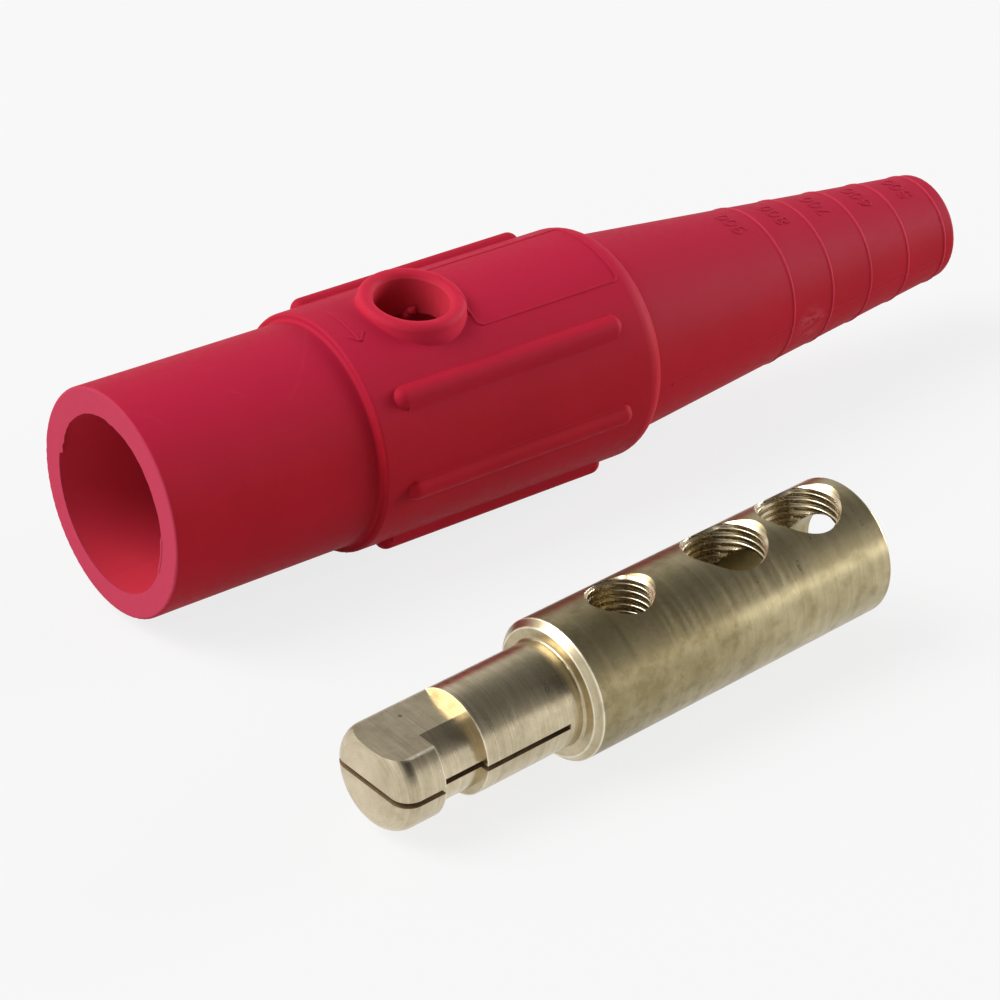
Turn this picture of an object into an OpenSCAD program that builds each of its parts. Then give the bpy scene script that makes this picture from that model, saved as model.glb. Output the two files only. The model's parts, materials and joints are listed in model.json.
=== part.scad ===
// Single pole cam lock connector, taken apart: a moulded insulating sleeve
// and the turned male contact that goes inside it, lying side by side.
// Sizes are in millimetres, +Z is up, the sleeve's mouth points along -X.

/* [Sleeve outside] */
// outside diameter at the mouth
mouth_d = 36.8; // [34:0.1:38]
// length of the plain tube in front of the body
tube_len = 37.3; // [30:0.1:45]
// loss of diameter along the plain tube, from mould draft
tube_draft = 0.3; // [0:0.05:0.6]
// diameter of the body between its ribs
body_d = 39.2; // [38.8:0.1:44]
// length of the body, with its rounded rear shoulder
body_len = 56.4; // [52:0.1:70]
// radius of the round at the rear end of the body
rear_round = 4; // [3:0.1:5]
// diameter at the thick end of the tail
tail_d = 34.4; // [31:0.1:36]
// diameter at the tip of the tail
tip_d = 18.6; // [16:0.1:22]
// length of the tail
tail_len = 74.6; // [65:0.1:90]

/* [Tail rings] */
// number of raised rings on the tail
ring_count = 5; // [1:1:6]
// distance from the tip of the tail to the last ring
last_ring = 3.1; // [2:0.1:8]
// distance from ring to ring
ring_pitch = 9.75; // [5:0.05:9.9]
// height of a ring over the tail
ring_h = 0.16; // [0.1:0.01:0.3]

/* [Grip ribs] */
// places round the body, one of them taken by the screw hole
rib_places = 8; // [4:1:10]
// width of a rib
rib_w = 3.6; // [3:0.1:4.4]
// height of a rib over the body
rib_h = 1.35; // [1:0.05:1.5]
// length of a rib
rib_len = 44.6; // [30:0.1:46]
// distance from the front of the body to a rib
rib_in = 4.2; // [2:0.1:5]
// radius of the fillet at the foot of a rib
rib_fillet = 0.5; // [0.3:0.05:0.8]

/* [Screw hole in the sleeve] */
// distance from the front of the body to the middle of the hole
hole_in = 16.8; // [15:0.1:24]
// diameter of the hole
hole_d = 12.2; // [9:0.1:13]
// radius of the rounded lip of the collar round the hole
collar_lip = 1.3; // [1:0.05:1.6]
// height of the lip over the body
collar_h = 1.25; // [0.9:0.05:1.6]
// slope of the collar's skirt
collar_slope = 78; // [60:1:82]

/* [Sleeve inside] */
// diameter of the open mouth
mouth_bore_d = 28.6; // [27:0.1:30]
// depth of the mouth beyond the screw hole
mouth_past = 1.8; // [1:0.1:6]
// radial clearance between the contact and its bore
contact_fit = 0.09; // [0.05:0.01:0.3]
// length of the contact's bore beyond the barrel
contact_spare = 0.6; // [0.2:0.1:4]
// diameter of the cable entry at the tip of the tail
entry_d = 10.2; // [8:0.1:12]
// straight length of the cable entry
entry_len = 8; // [5:0.5:12]

/* [Contact barrel] */
// outside diameter of the barrel
barrel_d = 22; // [21:0.1:23]
// length of the barrel
barrel_len = 59; // [56:0.1:66]
// chamfer at the front of the barrel
barrel_chamfer = 1.05; // [0.5:0.05:1.2]
// radius of the round at the rear edge of the barrel
barrel_round = 0.4; // [0.2:0.05:0.8]
// diameter of the cable bore
cable_bore_d = 12; // [10:0.1:13]
// depth of the cable bore
cable_bore_len = 34; // [33:0.5:35.5]

/* [Contact screw holes] */
// diameter over the thread of the two set screw holes
set_d = 13; // [11:0.1:13.4]
// distance from the rear end to the rear set screw hole
set_rear = 8.95; // [8:0.05:10]
// distance between the two set screw holes
set_pitch = 15.2; // [14.8:0.1:17]
// diameter over the thread of the retaining screw hole
retain_d = 10.2; // [8:0.1:10.4]
// distance from the rear end to the retaining screw hole
retain_at = 44.8; // [43.4:0.1:47]
// depth of the retaining screw hole
retain_depth = 8; // [6:0.5:8]
// depth of the countersink that takes the burr off each hole
deburr = 0.5; // [0.2:0.05:0.6]

/* [Contact nose] */
// diameter of the nose and of the head in front of it
nose_d = 16.2; // [15:0.1:17]
// length of the nose
nose_len = 17.95; // [14:0.05:22]
// length of the cam groove
groove_len = 7.45; // [6:0.05:9]
// length of the head
head_len = 7.3; // [6:0.1:9]
// radius of the round at the front of the head
head_round = 2.9; // [1:0.1:3.2]
// flat face left between the barrel's chamfer and the fillet to the nose
shoulder_flat = 1.35; // [0.3:0.05:1.6]
// height of the cam flat over the axis
flat_h = 6; // [5.4:0.1:6.6]
// radius of the floor of the cam groove
groove_r = 6.65; // [6.5:0.05:7.1]
// shift of the groove's floor away from the flat
groove_shift = 0.3; // [0.1:0.05:0.45]
// angle round from the flat over which the groove stops short
groove_stop = 95; // [60:1:110]
// turn of the cam flat and the saw slot about the axis
flat_turn = 4.5; // [0:0.1:12]
// width of the saw slot
slot_w = 0.9; // [0.6:0.05:1.4]
// distance from the barrel to the end of the saw slot
slot_in = 2.7; // [2.2:0.1:6]

/* [Lying on the floor] */
// turn of the sleeve about its own axis
sleeve_roll = 10.9; // [0:0.1:20]
// rise of the contact's axis towards its rear end
contact_tilt = 2.5; // [0:0.1:4]
// angle between the two axes, seen from above
contact_turn = 2.85; // [0:0.05:8]
// distance along the sleeve from the mouth to the contact's rear end
contact_x = 86.86; // [80:0.02:100]
// distance from the sleeve's axis to the contact's rear end
contact_y = 67.54; // [60:0.02:80]

/* [Hidden] */
$fn = 64;
// facets of the small rounds
small_fn = 16;
eps = 0.01;

// sleeve, along its axis from the mouth
mouth_r = mouth_d / 2;
tube_end_r = mouth_r - tube_draft / 2;
body_r = body_d / 2;
tail_r = tail_d / 2;
tip_r = tip_d / 2;
body_end = tube_len + body_len;
sleeve_len = body_end + tail_len;
mouth_round = 0.45;
tip_round = 1.2;
front_round = 0.6;
front_fillet = 0.6;
ring_r = 0.4;
first_ring = tail_len - last_ring - (ring_count - 1) * ring_pitch;
round_end = body_end - sqrt(pow(rear_round, 2) - pow(rear_round - body_r + tail_r, 2));
rib_top = body_r + rib_h;
rib_base = body_r - 2;
// radius of a rib's rounded back, and the height of its middle
rib_back = (pow(rib_w / 2, 2) + pow(rib_h, 2)) / (2 * rib_h);
rib_mid = rib_top - rib_back;
// middle of the fillet at a rib's foot, the two rounds crossing a little
cross = 0.03;
foot_y = body_r - 0.15 + rib_fillet;
foot_x = sqrt(pow(rib_back + rib_fillet - cross, 2) - pow(foot_y - rib_mid, 2));
hole_r = hole_d / 2;
hole_x = tube_len + hole_in;
// middle of the collar's lip, and the skirt that starts on it
collar_top = body_r + collar_h;
lip_x = hole_r + collar_lip - 0.05;
lip_y = collar_top - collar_lip;
skirt_x = lip_x + (collar_lip - cross) * sin(collar_slope);
skirt_y = lip_y + (collar_lip - cross) * cos(collar_slope);
skirt_drop = skirt_y - body_r + 3.6;

// sleeve, inside
mouth_bore_r = mouth_bore_d / 2;
contact_bore_r = barrel_d / 2 + contact_fit;
mouth_depth = hole_x + hole_r + mouth_past;
// the barrel's rear end lies here when both screw holes line up
barrel_end = hole_x + retain_at;
contact_bore_end = barrel_end + contact_spare;
contact_bore_len = contact_bore_end - mouth_depth;
entry_r = entry_d / 2;
entry_start = sleeve_len - entry_len;

// contact, along its axis from the rear end, front towards -X
barrel_r = barrel_d / 2;
nose_r = nose_d / 2;
cable_bore_r = cable_bore_d / 2;
set_r = set_d / 2;
retain_r = retain_d / 2;
nose_front = barrel_len + nose_len;
head_rear = nose_front + groove_len;
contact_len = head_rear + head_len;
nose_fillet = barrel_r - barrel_chamfer - shoulder_flat - nose_r;
bore_edge = 0.5;
set_floor = 3;

// where the two pieces lie, and the middle of the box round both
lean_x = cos(contact_tilt) * cos(contact_turn);
lean_y = cos(contact_tilt) * sin(contact_turn);
rib_low = rib_mid * cos(sleeve_roll) + rib_back;
axis_z = rib_low;
// the contact rests on the front edge of its barrel
edge_at = barrel_len - barrel_chamfer;
contact_z = barrel_r * cos(contact_tilt) + edge_at * sin(contact_tilt);
head_at = contact_len - head_round;
head_flat_r = nose_r - head_round;
head_x = contact_x - head_at * lean_x - head_flat_r * sqrt(1 - pow(lean_x, 2)) - head_round;
head_y = contact_y + head_at * lean_y + head_flat_r * sqrt(1 - pow(lean_y, 2)) + head_round;
barrel_y = contact_y + edge_at * lean_y + barrel_r * sqrt(1 - pow(lean_y, 2));
box_x0 = min(0, head_x);
box_y0 = -max(head_y, barrel_y);
mid_x = (box_x0 + sleeve_len) / 2;
mid_y = (box_y0 + rib_low) / 2;

function tail_at(d) = tail_r + (tip_r - tail_r) * d / tail_len;

// half section of the sleeve's outside, radius along x, axis along y
module sleeve_section() {
    // plain tube with a small round at the mouth
    polygon([
        [0, 0],
        [mouth_r - mouth_round, 0],
        [mouth_r, mouth_round],
        [tube_end_r, tube_len],
        [tube_end_r, tube_len + 1],
        [0, tube_len + 1]
    ]);
    translate([mouth_r - mouth_round, mouth_round])
        circle(r = mouth_round, $fn = small_fn);
    // fillet in front of the body
    difference() {
        translate([tube_end_r - 0.2, tube_len - front_fillet])
            square([front_fillet + 0.2, front_fillet + 0.2]);
        translate([tube_end_r + front_fillet, tube_len - front_fillet])
            circle(r = front_fillet, $fn = small_fn);
    }
    // body with a round at either end
    translate([0, tube_len])
        square([body_r - front_round, round_end - tube_len]);
    translate([0, tube_len + front_round])
        square([body_r, round_end - tube_len - front_round]);
    translate([body_r - front_round, tube_len + front_round])
        circle(r = front_round, $fn = small_fn);
    translate([body_r - rear_round, round_end])
        circle(r = rear_round, $fn = 32);
    // tail with a rounded tip, its cone begun inside the body
    polygon([
        [0, round_end - 1],
        [tail_at(round_end - 1 - body_end), round_end - 1],
        [tail_at(tail_len - tip_round), sleeve_len - tip_round],
        [tip_r - tip_round, sleeve_len],
        [0, sleeve_len]
    ]);
    translate([tail_at(tail_len - tip_round) - tip_round, sleeve_len - tip_round])
        circle(r = tip_round, $fn = small_fn);
    // raised rings
    for (i = [0 : ring_count - 1])
        translate([tail_at(first_ring + i * ring_pitch) + ring_h - ring_r, body_end + first_ring + i * ring_pitch])
            circle(r = ring_r, $fn = small_fn);
}

// half section of the space inside the sleeve
module sleeve_space() {
    translate([0, -1])
        square([mouth_bore_r, mouth_depth + 1]);
    translate([0, mouth_depth - 1])
        square([contact_bore_r, contact_bore_len + 1]);
    polygon([
        [0, contact_bore_end - eps],
        [contact_bore_r, contact_bore_end - eps],
        [entry_r, entry_start],
        [entry_r, sleeve_len + 1],
        [0, sleeve_len + 1]
    ]);
}

// half section across a rib, height along y
module rib_half() {
    // rounded back, cut off at the middle of the rib
    intersection() {
        translate([0, rib_mid])
            circle(r = rib_back, $fn = 32);
        translate([0, rib_base])
            square([rib_w, rib_top]);
    }
    // foot with a fillet to the body
    difference() {
        polygon([
            [0, rib_base],
            [foot_x, rib_base],
            [foot_x, foot_y],
            [0, rib_mid]
        ]);
        translate([foot_x, foot_y])
            circle(r = rib_fillet, $fn = small_fn);
    }
}

// wall of a rib at angle a that the mould draws along, on the parting plane's side
module rib_draw(a) {
    side = sin(a) > 0 ? 1 : -1;
    way = cos(a) > 0 ? -1 : 1;
    out_x = -side * cos(a) * (rib_back - eps);
    out_y = rib_mid + side * sin(a) * (rib_back - eps);
    polygon([
        [0, rib_mid],
        [out_x, out_y],
        [out_x + way * sin(a) * 2, out_y + way * cos(a) * 2],
        [0, rib_base]
    ]);
}

// one rib at angle a from the top of the body, with rounded ends
module rib(a) {
    straight = rib_len - rib_w;
    rotate([a, 0, 0])
    translate([tube_len + rib_in + rib_w / 2, 0, 0]) {
        rotate([90, 0, 90])
            linear_extrude(height = straight) {
                rib_half();
                mirror([1, 0])
                    rib_half();
                if (abs(sin(2 * a)) > 0.6)
                    rib_draw(a);
            }
        rotate([0, 0, 90])
            rotate_extrude(angle = 180)
                rib_half();
        translate([straight, 0, 0])
            rotate([0, 0, -90])
                rotate_extrude(angle = 180)
                    rib_half();
    }
}

// raised collar round the screw hole, a rounded lip on a sloping skirt
module collar() {
    translate([hole_x, 0, 0])
        rotate_extrude() {
            polygon([
                [0, body_r - 5],
                [skirt_x + skirt_drop / tan(collar_slope), skirt_y - skirt_drop],
                [skirt_x, skirt_y],
                [lip_x, lip_y],
                [0, lip_y]
            ]);
            translate([lip_x, lip_y])
                circle(r = collar_lip, $fn = small_fn);
        }
}

module insulating_sleeve() {
    color([0.72, 0.12, 0.2])
    translate([-mid_x, -mid_y, axis_z])
    rotate([sleeve_roll, 0, 0])
    difference() {
        union() {
            rotate([0, 90, 0])
                rotate_extrude()
                    sleeve_section();
            for (i = [1 : rib_places - 1])
                rib(i * 360 / rib_places);
            collar();
        }
        rotate([0, 90, 0])
            rotate_extrude()
                sleeve_space();
        translate([hole_x, 0, 0])
            cylinder(r = hole_r, h = collar_top + 1);
    }
}

// half section of the contact, radius along x, axis along y, rear end at zero
module contact_section() {
    // head and nose with a round at the front
    translate([0, -contact_len])
        square([nose_r - head_round, contact_len - 1]);
    translate([0, -contact_len + head_round])
        square([nose_r, contact_len - head_round - barrel_len + 1]);
    translate([nose_r - head_round, -contact_len + head_round])
        circle(r = head_round, $fn = small_fn);
    // fillet up to the barrel
    difference() {
        translate([nose_r - 0.2, -barrel_len - nose_fillet])
            square([nose_fillet + 0.2, nose_fillet + 0.2]);
        translate([nose_r + nose_fillet, -barrel_len - nose_fillet])
            circle(r = nose_fillet, $fn = small_fn);
    }
    // barrel with a chamfer in front and a round at the rear
    polygon([
        [0, -barrel_len],
        [barrel_r - barrel_chamfer, -barrel_len],
        [barrel_r, -barrel_len + barrel_chamfer],
        [barrel_r, -barrel_round],
        [barrel_r - barrel_round, 0],
        [0, 0]
    ]);
    translate([barrel_r - barrel_round, -barrel_round])
        circle(r = barrel_round, $fn = small_fn);
}

// space of the cable bore, with an edge chamfer and a drilled end
module cable_bore() {
    polygon([
        [0, 1],
        [cable_bore_r + bore_edge + 1, 1],
        [cable_bore_r, -bore_edge],
        [cable_bore_r, -cable_bore_len],
        [0, -cable_bore_len - cable_bore_r * 0.6]
    ]);
}

// countersink at the top of a screw hole of radius r
module burr_edge(r) {
    translate([0, 0, barrel_r - deburr])
        cylinder(r1 = r, r2 = r + deburr + 1, h = deburr + 1);
}

// space of the retaining screw hole, with a drilled end
module retain_hole() {
    translate([-retain_at, 0, 0]) {
        translate([0, 0, barrel_r - retain_depth])
            cylinder(r = retain_r, h = retain_depth + 1);
        translate([0, 0, barrel_r - retain_depth - retain_r * 0.55])
            cylinder(r1 = 0, r2 = retain_r, h = retain_r * 0.55);
        burr_edge(retain_r);
    }
}

// space of one set screw hole
module set_hole(at) {
    translate([-at, 0, 0]) {
        translate([0, 0, set_floor])
            cylinder(r = set_r, h = barrel_r);
        burr_edge(set_r);
    }
}

// section of the cam groove, the flat's side towards -x, the far side towards +y
module groove_section() {
    difference() {
        circle(r = nose_r + 2);
        translate([groove_shift, 0])
            circle(r = groove_r);
        polygon([
            [0, 0],
            [-2 * nose_d, 0],
            [-2 * nose_d, 2 * nose_d],
            [-2 * nose_d * cos(groove_stop), 2 * nose_d * sin(groove_stop)]
        ]);
    }
}

// cam flat, cam groove and saw slot cut into head and nose
module nose_cuts() {
    translate([-contact_len - 1, -nose_d, flat_h])
        cube([head_len + groove_len + 1, 2 * nose_d, nose_d]);
    translate([-head_rear, 0, 0])
        rotate([0, 90, 0])
            linear_extrude(height = groove_len)
                groove_section();
    translate([-contact_len - 1, -nose_d, -slot_w / 2])
        cube([contact_len - barrel_len - slot_in + 1, 2 * nose_d, slot_w]);
}

module male_contact() {
    color([0.72, 0.62, 0.42])
    translate([contact_x - mid_x, -contact_y - mid_y, contact_z])
    rotate([0, 0, contact_turn])
    rotate([0, -contact_tilt, 0])
    difference() {
        rotate([0, 90, 0])
            rotate_extrude()
                contact_section();
        rotate([0, 90, 0])
            rotate_extrude()
                cable_bore();
        set_hole(set_rear);
        set_hole(set_rear + set_pitch);
        retain_hole();
        rotate([flat_turn, 0, 0])
            nose_cuts();
    }
}

insulating_sleeve();
male_contact();
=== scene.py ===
"""Finishes a single pole cam lock connector, taken apart: red moulded sleeve beside its brass contact."""
import json
import math

import bpy
from bpy.props import FloatProperty, FloatVectorProperty, IntProperty, PointerProperty
from mathutils import Matrix, Vector, noise
from mathutils.bvhtree import BVHTree


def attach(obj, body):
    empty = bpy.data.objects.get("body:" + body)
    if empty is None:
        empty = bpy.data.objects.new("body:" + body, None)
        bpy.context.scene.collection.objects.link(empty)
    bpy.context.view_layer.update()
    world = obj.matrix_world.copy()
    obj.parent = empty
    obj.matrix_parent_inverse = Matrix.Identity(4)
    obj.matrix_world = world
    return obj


bl_info = {
    "name": "Cam Lock Connector Finish",
    "version": (1, 0, 0),
    "blender": (4, 5, 0),
    "location": "View3D > Sidebar > Connector",
    "description": "Moulded rubber, turned brass, threads and mould marks for a cam lock connector",
    "category": "Object",
}

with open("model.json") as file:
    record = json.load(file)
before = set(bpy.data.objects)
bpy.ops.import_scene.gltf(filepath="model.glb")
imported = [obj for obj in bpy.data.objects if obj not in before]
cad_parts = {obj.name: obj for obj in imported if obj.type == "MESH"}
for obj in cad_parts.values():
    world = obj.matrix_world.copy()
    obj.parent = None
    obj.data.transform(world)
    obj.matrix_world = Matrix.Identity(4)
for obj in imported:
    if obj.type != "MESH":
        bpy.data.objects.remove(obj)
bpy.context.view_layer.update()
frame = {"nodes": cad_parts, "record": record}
MOUNTS = {mount["name"]: mount for mount in frame["record"]["mounts"]}
MM = 0.001
SLEEVE_NODE = "insulating_sleeve"
CONTACT_NODE = "male_contact"

# Chamfer at the open end of the contact's cable bore, outside its straight wall, in mm.
BORE_EDGE = 0.5


def mount_point(name):
    return Vector(MOUNTS[name]["pos_m"])


def mount_axis(name):
    return Vector(MOUNTS[name]["axis"]).normalized()


def mount_size(name, key):
    return MOUNTS[name]["dims"][key]


def bore_end(name, edge=0.0):
    """Middle of a bore's open end, with the edge in mm that lies outside its straight wall."""
    return mount_point(name) + mount_axis(name) * (mount_size(name, "length_mm") / 2 + edge) * MM


def place_from(origin, along, up):
    """Matrix from millimetres along, across and above an axis to the frame's metres."""
    x = along.normalized()
    z = (up - x * up.dot(x)).normalized()
    y = z.cross(x)
    cols = [x * MM, y * MM, z * MM, origin]
    return Matrix(([c.x for c in cols], [c.y for c in cols], [c.z for c in cols], (0, 0, 0, 1)))


# The sleeve's own axes start at the middle of its mouth, the contact's at its rear end.
SLEEVE_PLACE = place_from(bore_end("mouth_bore"), -mount_axis("mouth_bore"), mount_axis("sleeve_screw_hole"))
CONTACT_PLACE = place_from(
    bore_end("contact_cable_bore", BORE_EDGE),
    mount_axis("contact_cable_bore"),
    mount_axis("rear_set_screw"),
)

# Places and sizes on the sleeve, in its own millimetres
TAIL_START, TAIL_FADE = 93.7, 4.0
COLLAR_R = 8.8
TORN_PATCH = (130.9, -13.2, -1.0)
FIRST_RING, RING_PITCH = 126.2, 9.75
# how far from the middle of a ring the painted highlight on its crest is brightest, and where that ends
CREST_HALF, CREST_END = 0.16, 0.36
# how deep the mouth's cut face is palest, and where that ends
CUT_DEPTH, CUT_END = 0.05, 0.4
# how far past the radius of the mouth or screw hole its wall keeps the painted light of the inner red
WALL_SKIN = 0.1

# Places and sizes on the contact, in its own millimetres, with its nose towards -x
BARREL_R, HEAD_R = 11.0, 8.1
# lean of the saw slot in degrees, a little over half its width, and where it ends
SLOT_LEAN, SLOT_HALF, SLOT_END = 4.5, 0.47, -61.68
# height of the cam flat over the slot, where it begins, and the middle of the pit in it
FLAT_HEIGHT, FLAT_START = 6.0, -77.0
FLAT_PIT = (-83.7, 2.32, 6.2)
# edges with a painted highlight, along and from the axis: both of the barrel's chamfer, nose's front, head's
# rear
GLINT_RINGS = ((-57.95, BARREL_R), (-59.0, 9.95), (-76.95, HEAD_R), (-84.4, HEAD_R))
# where the barrel's duller skin fades and is gone, where the nose gets cleaner and is cleanest, and where the
# barrel's painted shade begins and is full
SKIN_FADES, SKIN_GONE = -57.8, -58.1
CLEAN_FROM, CLEAN_AT = -58.0, -82.0
FRONT_SHADE_FROM, FRONT_SHADE_AT = -20.0, -48.0
# part of a surface's normal along the axis, above which the surface is an end face
END_FACE = 0.6

# Colours that wear, dirt and tools leave, and the painted highlights of the rings' crests and of edges
CREST_HIGHLIGHT_RED = (0.66, 0.05, 0.09)
BARE_PINK = (0.66, 0.20, 0.25)
SPECK_RED = (0.09, 0.004, 0.01)
SLOT_WALL_BRASS = (0.38, 0.27, 0.16)
EDGE_HIGHLIGHT_BRASS = (0.97, 0.90, 0.74)
SCRATCHED_BRASS = (0.93, 0.84, 0.60)
PIT_BROWN = (0.16, 0.11, 0.06)


# Values a user would change

class SleeveSettings(bpy.types.PropertyGroup):
    """Finish and mould marks of the sleeve"""
    red: FloatVectorProperty(
        name="Red", description="Colour of the moulded rubber",
        subtype="COLOR", size=3, min=0, max=1, default=(0.43, 0.011, 0.025))
    deep_red: FloatVectorProperty(
        name="Deep red", description="Darker red in the mottling",
        subtype="COLOR", size=3, min=0, max=1, default=(0.35, 0.009, 0.018))
    # painted sheen: pinker red on the upper side, where light from above glances off
    painted_sheen_red: FloatVectorProperty(
        name="Painted sheen red", description="Pinker red of the upper side",
        subtype="COLOR", size=3, min=0, max=1, default=(0.43, 0.014, 0.046))
    # painted shade: deeper red on the tail's upper side
    tail_shade_red: FloatVectorProperty(
        name="Tail red", description="Deeper red of the tail's upper side",
        subtype="COLOR", size=3, min=0, max=1, default=(0.345, 0.016, 0.038))
    # painted light: brighter red on the collar's upper side
    collar_light_red: FloatVectorProperty(
        name="Collar light red", description="Brighter red of the collar",
        subtype="COLOR", size=3, min=0, max=1, default=(0.53, 0.021, 0.050))
    cut_red: FloatVectorProperty(
        name="Cut face red", description="Paler red of the trimmed mouth",
        subtype="COLOR", size=3, min=0, max=1, default=(0.45, 0.041, 0.082))
    # painted light: brighter red inside the mouth and the screw hole
    inner_light_red: FloatVectorProperty(
        name="Inner red", description="Painted brighter red of the mouth's and screw hole's walls",
        subtype="COLOR", size=3, min=0, max=1, default=(0.53, 0.031, 0.054))
    frame_start: FloatProperty(
        name="Frame start", description="Mouth to the front of the raised frame",
        unit="LENGTH", default=61.4 * MM)
    frame_end: FloatProperty(
        name="Frame end", description="Mouth to the rear of the raised frame",
        unit="LENGTH", default=89.6 * MM)
    frame_half: FloatProperty(
        name="Frame half angle", description="Half of the angle that the frame spans",
        subtype="ANGLE", default=math.radians(24.7))
    line_width: FloatProperty(
        name="Line width", description="Width of the raised lines and numbers",
        unit="LENGTH", default=0.5 * MM)
    line_height: FloatProperty(
        name="Line height", description="Height of the raised lines and numbers",
        unit="LENGTH", default=0.15 * MM)
    seam_width: FloatProperty(
        name="Seam width", description="Width of the mould's parting seam",
        unit="LENGTH", default=0.3 * MM)
    number_height: FloatProperty(
        name="Number height", description="Height of the numbers between the rings",
        unit="LENGTH", default=2.6 * MM)


class ContactSettings(bpy.types.PropertyGroup):
    """Finish and threads of the contact"""
    brass: FloatVectorProperty(
        name="Brass", description="Colour of the clean brass",
        subtype="COLOR", size=3, min=0, max=1, default=(0.80, 0.69, 0.50))
    handled: FloatVectorProperty(
        name="Handled brass", description="Colour of the barrel's brass",
        subtype="COLOR", size=3, min=0, max=1, default=(0.53, 0.455, 0.275))
    tarnish: FloatVectorProperty(
        name="Tarnish", description="Colour of the stained brass",
        subtype="COLOR", size=3, min=0, max=1, default=(0.26, 0.21, 0.105))
    thread_pitch: FloatProperty(
        name="Thread pitch", description="Pitch of the screw threads",
        unit="LENGTH", default=1.18 * MM)
    thread_depth: FloatProperty(
        name="Thread depth", description="Depth of the screw threads",
        unit="LENGTH", default=0.46 * MM)
    thread_columns: IntProperty(
        name="Thread columns", description="Points round a thread",
        min=24, max=192, default=112)


class StageSettings(bpy.types.PropertyGroup):
    """Floor, lights and camera"""
    floor: FloatVectorProperty(
        name="Floor", description="Colour of the floor",
        subtype="COLOR", size=3, min=0, max=1, default=(0.58, 0.58, 0.58))
    floor_half: FloatProperty(
        name="Floor half size", description="Half of the floor's side",
        unit="LENGTH", default=8.0)
    key_power: FloatProperty(
        name="Key light", description="Power of the soft light at the left",
        unit="POWER", default=112.0)
    tail_power: FloatProperty(
        name="Tail light", description="Power of the soft light beyond the tail",
        unit="POWER", default=41.0)
    card_power: FloatProperty(
        name="Card light", description="Power of the card in front at the right",
        unit="POWER", default=4.0)
    lens: FloatProperty(
        name="Lens", description="Focal length of the camera in mm", default=123.81)


# Small helpers for nodes

def put(tree, kind, links=None, **settings):
    """Adds a node, sets its properties, and links or sets its inputs."""
    made = tree.nodes.new(kind)
    for key, value in settings.items():
        setattr(made, key, value)
    for key, value in (links or {}).items():
        socket = made.inputs[key]
        if isinstance(value, bpy.types.NodeSocket):
            tree.links.new(value, socket)
        else:
            socket.default_value = value
    return made


def math_node(tree, operation, a, b=0.0, clamp=False):
    return put(tree, "ShaderNodeMath", {0: a, 1: b}, operation=operation, use_clamp=clamp).outputs[0]


def times(tree, a, b, clamp=False):
    return math_node(tree, "MULTIPLY", a, b, clamp)


def plus(tree, a, b, clamp=False):
    return math_node(tree, "ADD", a, b, clamp)


def minus(tree, a, b):
    return math_node(tree, "SUBTRACT", a, b)


def most(tree, a, b):
    return math_node(tree, "MAXIMUM", a, b)


def vector_node(tree, operation, a, b=(0, 0, 0), result="Value"):
    return put(tree, "ShaderNodeVectorMath", {0: a, 1: b}, operation=operation).outputs[result]


def combine(tree, x, y, z=0.0):
    return put(tree, "ShaderNodeCombineXYZ", {"X": x, "Y": y, "Z": z}).outputs[0]


def spread(tree, value, low, high, to_low=0.0, to_high=1.0):
    """Value stretched from one range to another, and kept inside it."""
    links = {"Value": value, "From Min": low, "From Max": high, "To Min": to_low, "To Max": to_high}
    return put(tree, "ShaderNodeMapRange", links).outputs["Result"]


def blend_colour(tree, factor, a, b):
    """Colour between two, each a socket or three numbers."""
    links = {0: factor}
    for index, value in ((6, a), (7, b)):
        links[index] = value if isinstance(value, bpy.types.NodeSocket) else (*value, 1)
    return put(tree, "ShaderNodeMix", links, data_type="RGBA").outputs[2]


def new_group(name, values, result):
    """Empty node group with a Vector, named values with their defaults, and one result."""
    tree = bpy.data.node_groups.new(name, "ShaderNodeTree")
    tree.interface.new_socket("Vector", in_out="INPUT", socket_type="NodeSocketVector")
    for label, default in values.items():
        socket = tree.interface.new_socket(label, in_out="INPUT", socket_type="NodeSocketFloat")
        socket.default_value = default
    tree.interface.new_socket(result, in_out="OUTPUT", socket_type="NodeSocketFloat")
    start = tree.nodes.new("NodeGroupInput").outputs
    end = tree.nodes.new("NodeGroupOutput").inputs[result]
    return tree, start, end


def soft_mottle():
    """Cloudy unevenness, from 0 to 1."""
    name = "Soft mottle"
    if name in bpy.data.node_groups:
        return bpy.data.node_groups[name]
    values = {"Scale": 60.0, "Detail": 4.0, "Low": 0.35, "High": 0.65}
    tree, start, end = new_group(name, values, "Mottle")
    links = {"Vector": start["Vector"], "Scale": start["Scale"], "Detail": start["Detail"], "Roughness": 0.6}
    cloud = put(tree, "ShaderNodeTexNoise", links).outputs["Fac"]
    tree.links.new(spread(tree, cloud, start["Low"], start["High"]), end)
    return tree


def hair_scratches():
    """Thin stray scratch lines, broken up, as a mask."""
    name = "Hair scratches"
    if name in bpy.data.node_groups:
        return bpy.data.node_groups[name]
    values = {"Scale": 40.0, "Width": 0.004, "Cover": 0.5}
    tree, start, end = new_group(name, values, "Scratch")
    links = {"Vector": start["Vector"], "Scale": start["Scale"], "Detail": 0.6, "Distortion": 0.3}
    lines = put(tree, "ShaderNodeTexNoise", links).outputs["Fac"]
    off = math_node(tree, "ABSOLUTE", minus(tree, lines, 0.5))
    line = spread(tree, off, 0.0, start["Width"], 1.0, 0.0)
    links = {"Vector": start["Vector"], "Scale": 190.0, "Detail": 1.0}
    gaps = put(tree, "ShaderNodeTexNoise", links).outputs["Fac"]
    tree.links.new(times(tree, line, spread(tree, gaps, start["Cover"], 0.75)), end)
    return tree


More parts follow.
